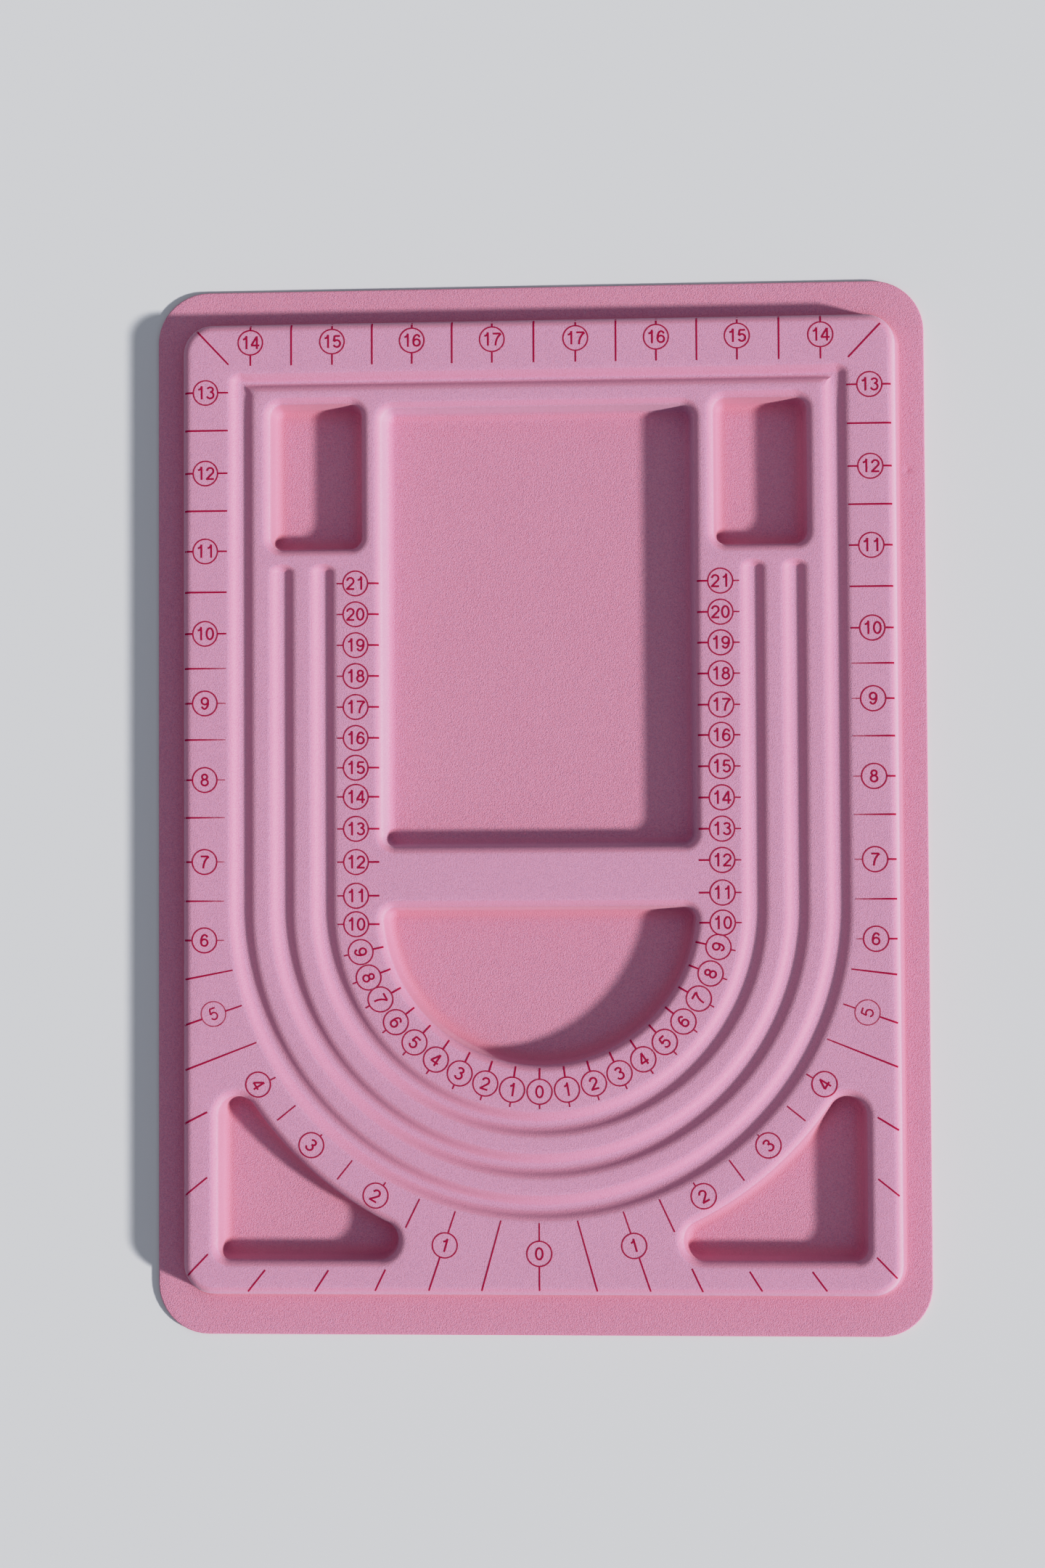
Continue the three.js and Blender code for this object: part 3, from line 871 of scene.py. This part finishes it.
# Half inches round the bend: bearing of the inner end, then where the line meets the deck's edge.
# The right ones stray from the left ones by the slips of their two ends.
BEND_LINE_IN = 100.6
BEND_SLIPS = {3: (0.0, 0.0, -0.7, 0.0), 4: (0.0, 0.0, -1.4, 0.6), 5: (0.7, 0.2, -2.5, 0.8),
              7: (0.9, -0.3, 0.0, 0.4), 8: (0.6, 0.9, 0.0, -2.0), 9: (1.1, 0.8, 0.2, 0.8),
              10: (1.6, 0.0, 0.0, 0.3), 11: (1.3, -0.3, 0.2, 0.9)}
BEND_LINES = [(0.0, 0.0, -154.5), (7.0, 18.5, -154.6), (15.5, 35.5, -154.6), (22.4, 52.8, -154.7),
              (29.3, 72.3, -155.0), (36.6, 93.9, -155.1), (43.9, 113.6, -150.2), (51.1, 114.5, -124.6),
              (57.4, 114.5, -101.4), (64.7, 114.2, -84.2), (72.0, 114.5, -69.8), (78.7, 114.2, -55.0)]
BEND_RINGS = [(0.0, -142.7), (30.3, -140.1), (52.5, -124.3), (73.2, -108.2), (90.4, -88.8),
              (104.9, -66.1)]
FOUR_LINE, FOUR_SLIP = 8, 0.7  # the right four sits further out
FIVE_LINE, FIVE_INK = 10, 0.8  # the fives took less ink
ODD_FIVE_TURN = math.radians(19)  # the left five stands on its line, unlike its neighbours
print("numbers: 0 to 21 in centimetres, 0 to", max(TOP_ROW), "in inches")


# %% Plans of the two scales
def mark(marks, ends, inks, number=None, place=None, turn=0.0, share=1.0):
    """A line across the scale and, where it has a number, the ring and the digits on it."""
    for end, ink in zip(ends, inks):
        marks.append((end, LINE, 0.0, ink))
    if number is None:
        return
    marks.append((place, RING, 0.0, share * THIN))
    digits = str(number)
    along = DIGIT_STEP * np.array([math.cos(turn), math.sin(turn)])
    for i, digit in enumerate(digits):
        marks.append((place + (i - (len(digits) - 1) / 2) * along, int(digit), turn, share * FULL))


def centimetres():
    marks = []
    for number in range(22):
        for side in (RIGHT, LEFT) if number else (RIGHT,):
            turn = side * number * CM_TURN if number < 10 else 0.0
            out = np.array([math.sin(turn), -math.cos(turn)]) if number < 10 else np.array([side, 0.0])
            start = CENTRE if number < 10 else np.array([0.0, CM_TEN_Y + 10.0 * (number - 10)])
            reach = CM_LINE_ARC if number < 10 else CM_LINE_LEG
            start = start + [0, CM_SLIPS[side].get(number, 0)]
            mark(marks, (start + CM_LINE_IN * out, start + reach * out), (BOLD, THIN),
                 number, start + CM_ROW * out, turn)
    return marks


def lean(y):
    """The two columns of inches stand a little wider apart towards the round end."""
    return COLUMN_LEAN * (COLUMN_TRUE_Y - y)


def inch_line(side, y):
    return np.array([[side * (INCH_LINE_OUT + lean(y)), y], [side * (INCH_LINE_IN + 3 * lean(y)), y]])


def half_way(places):
    return [(a + b) / 2 for a, b in zip(places, places[1:])]


def inch_columns(marks, side):
    for number, y in INCH_HEIGHTS.items():
        inks = BOLD, FAINT if number < 10 else PLAIN
        y += INCH_RIGHT_SLIP if side == RIGHT else INCH_LEFT_SLIP if number > 10 else 0.0
        mark(marks, inch_line(side, y), inks, number, np.array([side * (INCH_ROW + lean(y)), y]))
    for (number, slips), y in zip(HALF_SLIPS.items(), half_way(list(INCH_HEIGHTS.values()))):
        inks = BOLD, FAINT if number < 10 else PLAIN
        mark(marks, inch_line(side, y + slips[0 if side == RIGHT else 1]), inks)
    mark(marks, np.array(TOP_CORNERS[side]), (PLAIN, FULL))


def inch_row(marks):
    top = [TOP_SHIFT - x for x in TOP_ROW.values()]
    top += [TOP_SHIFT + x for x in reversed(TOP_ROW.values())]
    numbers = list(TOP_ROW) + list(reversed(TOP_ROW))
    for x, number in list(zip(top, numbers)) + [(x, None) for x in half_way(top)]:
        ends = np.array([[x, TOP_LINE_IN - TOP_LINE_TILT * x], [x, TOP_LINE_OUT]])
        mark(marks, ends, (PLAIN, FULL), number, np.array([x, TOP_ROW_Y - TOP_RING_TILT * x]))


def inch_bend(marks, i, side):
    bearing, x, y = BEND_LINES[i]
    angle = math.radians(bearing)
    inner = CENTRE + BEND_LINE_IN * np.array([side * math.sin(angle), -math.cos(angle)])
    ends = np.array([inner, (side * x, y)])
    if side == RIGHT:
        ends += np.reshape(BEND_SLIPS.get(i, (0, 0, 0, 0)), (2, 2))
    inks = THIN, PLAIN if i < FOUR_LINE else BOLD
    if i % 2:
        mark(marks, ends, inks)
        return
    place = BEND_RINGS[i // 2] * np.array([side, 1])
    if i == FOUR_LINE and side == RIGHT:
        place = place + [FOUR_SLIP, 0]
    turn = math.atan2(place[0] - CENTRE[0], CENTRE[1] - place[1])
    if i == FIVE_LINE and side == LEFT:
        turn = ODD_FIVE_TURN
    mark(marks, ends, inks, i // 2, place, turn, FIVE_INK if i == FIVE_LINE else 1.0)


def inches():
    marks = []
    for side in (RIGHT, LEFT):
        inch_columns(marks, side)
    inch_row(marks)
    for i in range(len(BEND_LINES)):
        for side in (RIGHT, LEFT) if i else (RIGHT,):
            inch_bend(marks, i, side)
    return [(place + [INCH_SHIFT, 0], *rest) for place, *rest in marks]


def scale_plan(name, marks):
    for points, inward in (corner_edge, mirrored(*corner_edge)):
        marks += [(point, EDGE, 0.0, 0.0) for point in points + TRAY_INSET * inward]
    places, kinds, turns, inks = zip(*marks)
    kinds = np.array(kinds, np.int32)
    edges = np.flatnonzero(kinds == LINE).reshape(-1, 2)
    mesh = flat_mesh(name, places, edges.tolist())
    point_values(mesh, "kind", kinds, "INT")
    point_values(mesh, "turn", turns)
    point_values(mesh, "ink", inks)
    print(name, len(edges), "lines,", (kinds == RING).sum(), "rings,", (kinds >= 0).sum(), "digits")
    return placed(name, mesh)


corner_edge = sample(corner_tray(), 0.8, math.radians(5))
centimetre_plan = scale_plan("centimetre_plan", centimetres())
inch_plan = scale_plan("inch_plan", inches())

# %% [markdown]
# ## The digits
# Each digit is a few pen strokes of one width. Straight strokes are two points, round ones are arcs
# of ellipses, and a nine is a six turned over. The ten shapes go into a collection, so that the
# node tree can pick one of them for every point.

# %% Pen strokes of the ten digits
def round_stroke(x, y, across, up, start=0, end=360):
    count = math.ceil(abs(end - start) / 20)
    angles = [math.radians(start + (end - start) * i / count) for i in range(count + 1)]
    return [(x + across * math.cos(a), y + up * math.sin(a)) for a in angles]


SIX = [round_stroke(0, -0.72, 1.07, 1.08), round_stroke(0.1, -0.3, 1.17, 2.1, 195, 40)]
DIGIT_STROKES = [
    [round_stroke(0, 0, 1.08, 1.82)],
    [[(0.35, -2.05), (0.35, 2.05)], round_stroke(-0.75, 2.25, 1.1, 1.15, 0, -90)],
    [round_stroke(0, 0.75, 1.06, 1.07, 175, -30) + [(-1.12, -1.82)], [(-1.3, -1.82), (1.2, -1.82)]],
    [round_stroke(-0.05, 1.04, 0.92, 0.77, 160, -90), round_stroke(-0.05, -0.78, 1.1, 1.05, 90, -160)],
    [[(0.55, -2.05), (0.55, 2.05)], [(-1.35, -0.9), (1.35, -0.9)], [(0.5, 1.95), (-1.25, -0.85)]],
    [[(-0.75, 1.8), (1.05, 1.8)], [(-0.72, 1.8), (-0.98, 0.05)],
     round_stroke(0, -0.67, 1.1, 1.13, 145, -155)],
    SIX,
    [[(-1.2, 1.8), (1.2, 1.8)], round_stroke(3.0, -2.05, 3.4, 4.3, 180, 118)],
    [round_stroke(0, 0.98, 0.85, 0.82), round_stroke(0, -0.82, 1.07, 0.98)],
    [[(-x, -y) for x, y in stroke] for stroke in SIX],
]


def digit_shape(name, strokes):
    points, edges = [], []
    for stroke in strokes:
        edges += [(len(points) + i, len(points) + i + 1) for i in range(len(stroke) - 1)]
        points += stroke
    return bpy.data.objects.new(name, flat_mesh(name, points, edges))


digit_shapes = bpy.data.collections.new("digit_shapes")
for digit, strokes in enumerate(DIGIT_STROKES):
    digit_shapes.objects.link(digit_shape(f"digit_{digit}", strokes))

# %% [markdown]
# ## Printing
# The tree draws each line, leaves out what lies inside a ring, over a tray or on a corner tray's
# margin, where the plate touches nothing, and puts rings and digits on their points. It sweeps a thin
# flat section along all of them, wider where more ink went on, and drops every point of the result
# onto the flock. Strokes that cross lie a few thousandths of a millimetre apart, so no faces coincide.

# %% Tree that prints a scale
RING_SIDES, STROKE_LEVELS, LEVEL_STEP = 40, 7.0, 0.004
THIN_LINE, THICK_LINE = 0.6, 1.1  # shares of the line's width at the least and the most ink


def found_below(tree, face):
    """Height of the face under each point."""
    ray = add_node(tree, "GeometryNodeRaycast", named={
        "Target Geometry": face, "Source Position": with_z(tree, position(tree), 2 * HEIGHT * MM),
        "Ray Direction": (0.0, 0.0, -1.0), "Ray Length": 0.1})
    return z_of(tree, ray.outputs["Hit Position"])


def turned(tree, turn):
    return add_node(tree, "FunctionNodeEulerToRotation", turn).outputs[0]


def cut_lines(tree, given, lines, rings, edges, face):
    """The lines without what lies in a ring, beside a corner tray or too low for the plate."""
    def resampled(curve, length):
        return add_node(tree, "GeometryNodeResampleCurve", mode="LENGTH",
                        named=dict(Curve=curve, Length=length)).outputs[0]

    def near(points, reach):
        gap = add_node(tree, "GeometryNodeProximity", points, target_element="POINTS").outputs["Distance"]
        return maths(tree, "LESS_THAN", gap, reach)

    fine = add_node(tree, "GeometryNodeCurveToMesh", resampled(lines, given["Cut Step"])).outputs[0]
    too_low = maths(tree, "LESS_THAN", found_below(tree, face), given["Lowest Ink"])
    untouched = maths(tree, "MAXIMUM", near(edges, given["Tray Margin"]), too_low)
    left_out = maths(tree, "MAXIMUM", near(rings, given["Ring Radius"]), untouched)
    cut = add_node(tree, "GeometryNodeDeleteGeometry", fine, left_out).outputs[0]
    return resampled(add_node(tree, "GeometryNodeMeshToCurve", cut).outputs[0], given["Line Step"])


def print_tree():
    tree, given, out = geometry_tree("print_scale", {
        "Face": "Object", "Digit Shapes": "Collection", "Ring Radius": "Float", "Line Width": "Float",
        "Ink Depth": "Float", "Cut Step": "Float", "Line Step": "Float", "Lowest Ink": "Float",
        "Tray Margin": "Float", "Finish": "Material"})
    plus, _, times, _ = sums(tree)
    face = add_node(tree, "GeometryNodeObjectInfo", given["Face"]).outputs["Geometry"]
    kind = named(tree, "kind", "INT")

    def points_where(operation, value):
        chosen = add_node(tree, "FunctionNodeCompare", data_type="INT", operation=operation,
                          named={"A": kind, "B": value}).outputs[0]
        return add_node(tree, "GeometryNodeSeparateGeometry", given["Geometry"], chosen).outputs[0]

    def as_curve(mesh):
        return add_node(tree, "GeometryNodeMeshToCurve", mesh).outputs[0]

    edges, lines, rings = (points_where("EQUAL", value) for value in (EDGE, LINE, RING))
    lines = cut_lines(tree, given, as_curve(lines), rings, edges, face)
    circle = add_node(tree, "GeometryNodeCurvePrimitiveCircle", named=dict(
        Resolution=RING_SIDES, Radius=given["Ring Radius"])).outputs[0]
    drawn_rings = add_node(tree, "GeometryNodeInstanceOnPoints", rings, named=dict(Instance=circle))
    shapes = add_node(tree, "GeometryNodeCollectionInfo", given["Digit Shapes"], True, True).outputs[0]
    turn = add_node(tree, "ShaderNodeCombineXYZ", 0.0, 0.0, named(tree, "turn")).outputs[0]
    drawn_digits = add_node(tree, "GeometryNodeInstanceOnPoints", points_where("GREATER_EQUAL", 0), named={
        "Instance": shapes, "Pick Instance": True, "Instance Index": kind, "Rotation": turned(tree, turn)})
    strokes = joined(tree, lines, realized(tree, drawn_rings.outputs[0]),
                     as_curve(realized(tree, drawn_digits.outputs[0])))
    strokes = add_node(tree, "GeometryNodeSetCurveNormal", strokes, mode="Z_UP").outputs[0]

    share = spread(tree, named(tree, "ink"), FAINT, BOLD, THIN_LINE, THICK_LINE, smooth=False)
    index = add_node(tree, "GeometryNodeInputIndex").outputs[0]
    index = add_node(tree, "GeometryNodeFieldOnDomain", data_type="INT", domain="CURVE",
                     named=dict(Value=index)).outputs[0]
    level = times(maths(tree, "MODULO", index, STROKE_LEVELS), LEVEL_STEP * MM)
    lift = add_node(tree, "ShaderNodeCombineXYZ", 0.0, 0.0, level).outputs[0]
    section = add_node(tree, "GeometryNodeCurvePrimitiveQuadrilateral", 1.0, given["Ink Depth"]).outputs[0]
    swept = add_node(tree, "GeometryNodeCurveToMesh", moved_to(tree, strokes, Offset=lift), section,
                     named={"Scale": times(share, given["Line Width"]), "Fill Caps": True}).outputs[0]
    place = position(tree)
    place = with_z(tree, place, plus(z_of(tree, place), found_below(tree, face)))
    return send_out(tree, given, out, moved_to(tree, swept, Position=place))


printing = print_tree()
print("print tree:", len(printing.nodes), "nodes")

# %% [markdown]
# ## Ink
# Ink on flock soaks into the fibres, so it keeps the flock's grain. Where little ink went on, the
# pink shows through between the inked fibres.

# %% Ink material and the printed scales
INK_RED = (0.312, 0.024, 0.058, 1)
LINE_WIDTH, INK_DEPTH = 0.52, 0.22  # the depth is a share of the width
CUT_STEP, LINE_STEP, PLATE_GIVE, TRAY_MARGIN = 0.2, 0.7, 1.6, 0.35


def ink_finish():
    made, tree, surface, place = material("scale_ink")
    plus, minus, times, _ = sums(tree)
    base, grain = flock_colour(tree, place)
    took = add_node(tree, "ShaderNodeAttribute", attribute_name="ink").outputs["Fac"]
    patchy = times(minus(noise(tree, place, 900.0, 2.0), 0.5), 0.5)
    share = spread(tree, plus(took, patchy), 0.0, 0.8, 0.25, 1.0)
    dress(tree, surface, {
        "Base Color": mix(tree, share, base, INK_RED), "Normal": bump(tree, grain, 0.4, 0.2 * MM),
        "Roughness": 0.9, "Specular IOR Level": 0.1})
    return made


scale_ink = ink_finish()
for name, plan in (("centimetre_scale", centimetre_plan), ("inch_scale", inch_plan)):
    scale = build(plan, printing, name, face=flocked_face, digit_shapes=digit_shapes,
                  ring_radius=RING_RADIUS * MM, line_width=LINE_WIDTH * MM, ink_depth=INK_DEPTH,
                  cut_step=CUT_STEP * MM, line_step=LINE_STEP * MM, lowest_ink=(HEIGHT - PLATE_GIVE) * MM,
                  tray_margin=(TRAY_INSET + TRAY_MARGIN) * MM, finish=scale_ink)
    finish_mesh(scale)
    bpy.data.objects.remove(plan)
    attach(scale, "root")
for shape in list(digit_shapes.objects):
    bpy.data.objects.remove(shape)
bpy.data.collections.remove(digit_shapes)

# %% [markdown]
# ## Lint
# Flock holds on to stray fibres. The tree strews a few dozen points over the flock with a fixed seed,
# adds the few whose place is known and puts a short bent fibre on each, turned and sized at random.

# %% Lint on the flock
KNOWN_LINT = [(-95.0, 79.1), (23.1, -10.1), (47.6, 63.4)]
LINT_DUSTY, LINT_PINK = (0.72, 0.60, 0.64, 1), (0.62, 0.42, 0.50, 1)


def lint_tree():
    tree, given, out = geometry_tree("strew_lint", {
        "Face": "Object", "Density": "Float", "Seed": "Int", "Bend": "Float", "Thickness": "Float",
        "Finish": "Material"})
    face = add_node(tree, "GeometryNodeObjectInfo", given["Face"]).outputs["Geometry"]
    upright = z_of(tree, add_node(tree, "GeometryNodeInputNormal").outputs[0])
    level = maths(tree, "GREATER_THAN", upright, 0.9)
    strewn = add_node(tree, "GeometryNodeDistributePointsOnFaces", face, level, named={
        "Density": given["Density"], "Seed": given["Seed"]}).outputs["Points"]
    fallen = add_node(tree, "ShaderNodeCombineXYZ", 0.0, 0.0, found_below(tree, face)).outputs[0]
    known = moved_to(tree, given["Geometry"], Offset=fallen)
    bow = add_node(tree, "GeometryNodeCurveArc", named={
        "Resolution": 7, "Radius": given["Bend"], "Sweep Angle": math.radians(120)}).outputs["Curve"]
    section = add_node(tree, "GeometryNodeCurvePrimitiveCircle", named=dict(
        Resolution=4, Radius=given["Thickness"])).outputs[0]
    fibre = add_node(tree, "GeometryNodeCurveToMesh", bow, section, named={"Fill Caps": True}).outputs[0]
    turn = add_node(tree, "FunctionNodeRandomValue", (-0.15, -0.15, 0.0), (0.15, 0.15, 2 * math.pi),
                    data_type="FLOAT_VECTOR").outputs[0]
    size = add_node(tree, "FunctionNodeRandomValue", None, None, 0.5, 1.4, data_type="FLOAT").outputs[1]
    laid = add_node(tree, "GeometryNodeInstanceOnPoints", joined(tree, strewn, known), named={
        "Instance": fibre, "Scale": size, "Rotation": turned(tree, turn)}).outputs[0]
    return send_out(tree, given, out, laid)


def lint_finish():
    made, tree, surface, place = material("lint_fibre")
    dusty = spread(tree, noise(tree, place, 300.0), 0.35, 0.65)
    dress(tree, surface, {"Base Color": mix(tree, dusty, LINT_DUSTY, LINT_PINK), "Roughness": 0.8})
    return made


lint_plan = placed("lint_plan", flat_mesh("lint_plan", KNOWN_LINT))
lint = build(lint_plan, lint_tree(), "lint", face=flocked_face, density=420.0, seed=5, bend=0.4 * MM,
             thickness=0.035 * MM, finish=lint_finish())
finish_mesh(lint)
bpy.data.objects.remove(lint_plan)
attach(lint, "root")

# %% [markdown]
# ## Camera, light and table
# The camera looks almost straight down, from a metre away, with a long lens. A low key light from
# the right rakes across the relief and throws the long shadows that show how deep the trays are. A
# pale sky, dim at the horizon and brighter overhead, fills them. A shoulder in the view's curve
# flattens the brightest tones, as a camera does. The table is a plain pale sheet. It reaches far, so
# that from a low angle it fills almost the whole picture and only a strip of sky is left above it.

# %% Camera
FOCAL_PIXELS, IMAGE_HEIGHT, SENSOR = 4200.0, 2160.0, 36.0
CAMERA_PLACE = (61.77, -30.65, 987.81)
CAMERA_TURN = (0.03851, 0.06853, -0.00487)

camera_data = bpy.data.cameras.new("camera")
camera_data.sensor_fit = "VERTICAL"
camera_data.sensor_height = SENSOR
camera_data.lens = SENSOR * FOCAL_PIXELS / IMAGE_HEIGHT
camera = placed("camera", camera_data)
about_x, about_y, about_z = (Matrix.Rotation(a, 4, axis) for a, axis in zip(CAMERA_TURN, "XYZ"))
camera.matrix_world = Matrix.Translation(Vector(CAMERA_PLACE) * MM) @ about_z @ about_y @ about_x
bpy.context.scene.camera = camera
print(f"camera with a lens of {camera_data.lens:.1f} mm")

# %% Light and tones
KEY_BEARING, KEY_HEIGHT = math.radians(-20), math.radians(27.3)
SKY_LOW, SKY_HIGH = 0.125, 0.69
TONES = ((0.1, 0.2), (0.2, 0.4), (0.3, 0.6), (0.45, 0.77), (0.62, 0.86))

level = math.cos(KEY_HEIGHT)
to_key = Vector((level * math.cos(KEY_BEARING), level * math.sin(KEY_BEARING), math.sin(KEY_HEIGHT)))
key_data = bpy.data.lights.new("key", "SUN")
key_data.energy = 5.0
key_data.angle = math.radians(5)
key_data.color = (1.0, 0.96, 0.92)
key = placed("key", key_data)
key.rotation_euler = to_key.to_track_quat("Z", "Y").to_euler()

world = bpy.data.worlds.new("pale_sky")
world.use_nodes = True
tree = world.node_tree
upward = z_of(tree, add_node(tree, "ShaderNodeTexCoord").outputs["Generated"])
dress(tree, tree.nodes["Background"], {
    "Color": (0.87, 0.915, 1.0, 1),
    "Strength": spread(tree, upward, 0.0, 1.0, SKY_LOW, SKY_HIGH, smooth=False)})
bpy.context.scene.world = world

view = bpy.context.scene.view_settings
view.view_transform = "Khronos PBR Neutral"
view.use_curve_mapping = True
shoulder = view.curve_mapping
shoulder.white_level = (2.0, 2.0, 2.0)
for at, shown in TONES:
    shoulder.curves[3].points.new(at, shown)
shoulder.update()
print("key light, graded sky and", len(TONES), "points of the shoulder")

# %% Table
TABLE_REACH, TABLE_GAP = 40.0, 0.05  # metres out, and millimetres under the board
floor_mesh = bpy.data.meshes.new("table")
floor_mesh.from_pydata([(x * TABLE_REACH, y * TABLE_REACH, -TABLE_GAP * MM)
                        for x, y in ((-1, -1), (1, -1), (1, 1), (-1, 1))], [], [(0, 1, 2, 3)])
table = placed("table", floor_mesh)
pale, tree, surface, _ = material("pale_table")
dress(tree, surface, {"Base Color": (0.58, 0.592, 0.61, 1), "Roughness": 0.95})
floor_mesh.materials.append(pale)
print("table in place")

# %% [markdown]
# ## Finish
# The dressed part has to keep the size of the imported one.

# %% Finish
bpy.context.view_layer.update()
